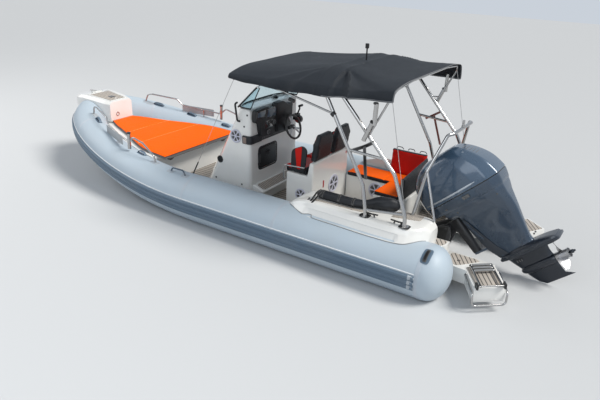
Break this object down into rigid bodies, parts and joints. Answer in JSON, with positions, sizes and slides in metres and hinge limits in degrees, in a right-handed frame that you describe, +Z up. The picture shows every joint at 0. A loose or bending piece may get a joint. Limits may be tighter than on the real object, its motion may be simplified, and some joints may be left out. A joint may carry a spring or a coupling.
{
  "type": "rigid inflatable boat",
  "caption": "Open rigid-hulled inflatable boat with a helm console, seats, canopy on a steel arch, stern platforms and a tilting outboard motor.",
  "frame": {"origin": "on the centreline at the waterline, midway along the buoyancy tubes", "axes": "+X to the bow, +Y to port, +Z up"},
  "size_m": [8.007, 2.722, 2.745],
  "materials": {
    "tube_cloth": "light grey coated cloth",
    "strake_rubber": "blue-grey rubber",
    "gelcoat": "white gelcoat",
    "orange_vinyl": "orange vinyl",
    "red_vinyl": "red vinyl",
    "dark_vinyl": "charcoal vinyl",
    "teak": "imitation teak",
    "stainless": "polished stainless steel",
    "black_plastic": "black plastic",
    "wheel_grip": "black moulded grip",
    "screen": "tinted acrylic",
    "canopy_cloth": "charcoal acrylic cloth",
    "cowl_paint": "dark blue-grey metallic",
    "leg_paint": "dark navy paint",
    "engine": "plain engine block",
    "prop_steel": "stainless steel"
  },
  "bodies": {
    "boat": {"tube_port": "tube_cloth", "tube_starboard": "tube_cloth", "strake_port": "strake_rubber", "strake_starboard": "strake_rubber", "hull": "gelcoat", "cockpit_sole": "gelcoat", "transom": "gelcoat", "foredeck": "gelcoat", "sunpad_support": "gelcoat", "bow_step": "gelcoat", "console": "gelcoat", "foot_step": "gelcoat", "seat_box": "gelcoat", "bench_box": "gelcoat", "coaming_port": "gelcoat", "coaming_starboard": "gelcoat", "platform_port": "gelcoat", "platform_starboard": "gelcoat", "sunpad": "orange_vinyl", "bench_cushion": "orange_vinyl", "side_back": "red_vinyl", "helm_cushions": "red_vinyl", "helm_backs": "dark_vinyl", "stern_back": "dark_vinyl", "cover_roll": "dark_vinyl", "seat_rails": "stainless", "arch_port": "stainless", "arch_starboard": "stainless", "canopy_bow_front": "stainless", "canopy_bow_rear": "stainless", "canopy_stays": "stainless", "tow_mast": "stainless", "rod_holders": "stainless", "bow_rail_port": "stainless", "bow_rail_starboard": "stainless", "grab_handles": "stainless", "ladder_guard": "stainless", "bow_eye": "stainless", "dash": "black_plastic", "steering_column": "black_plastic", "throttle": "black_plastic", "mast_light": "black_plastic", "ladder_brackets": "black_plastic", "speakers": "black_plastic", "windscreen": "screen", "canopy": "canopy_cloth", "motor_clamp": "leg_paint"},
    "tilt": {"motor_swivel": "leg_paint"},
    "outboard": {"motor_cowl": "cowl_paint", "motor_powerhead": "engine", "motor_casing": "leg_paint", "motor_gearcase": "leg_paint"},
    "screw": {"propeller": "prop_steel"},
    "wheel": {"steering_wheel": "wheel_grip"},
    "hatch": {"console_hatch": "gelcoat"},
    "lid": {"locker_lid": "teak"},
    "ladder": {"boarding_ladder": "stainless"}
  },
  "joints": [
    {"name": "engine_tilt", "type": "hinge", "parent": "boat", "child": "tilt", "pos_m": [-3.06, 0, 0.385], "axis": [0, 1, 0], "range_deg": [-46, 20]},
    {"name": "engine_steer", "type": "hinge", "parent": "tilt", "child": "outboard", "pos_m": [-3.15661, 0, 0.47199], "axis": [0.6691, 0, 0.7431], "range_deg": [-30, 30]},
    {"name": "propeller_spin", "type": "hinge", "parent": "outboard", "child": "screw", "pos_m": [-4.29833, 0, 0.35621], "axis": [-0.7431, 0, 0.6691], "continuous": true},
    {"name": "wheel_turn", "type": "hinge", "parent": "boat", "child": "wheel", "pos_m": [-0.655, -0.15, 1.14], "axis": [0.9397, 0, -0.342], "range_deg": [-720, 720]},
    {"name": "hatch_hinge", "type": "hinge", "parent": "boat", "child": "hatch", "pos_m": [-0.462, 0.377, 0.77], "axis": [0, 0, -1], "range_deg": [0, 110]},
    {"name": "lid_hinge", "type": "hinge", "parent": "boat", "child": "lid", "pos_m": [3.268, 0, 1.072], "axis": [0, 1, 0], "range_deg": [0, 95]},
    {"name": "ladder_hinge", "type": "hinge", "parent": "boat", "child": "ladder", "pos_m": [-3.8744, 0.9731, 0.314], "axis": [-0.7643, -0.6449, 0], "range_deg": [0, 258]}
  ],
  "couplings": [
    {"joint": "wheel_turn", "follows": "engine_steer", "ratio": 24}
  ]
}
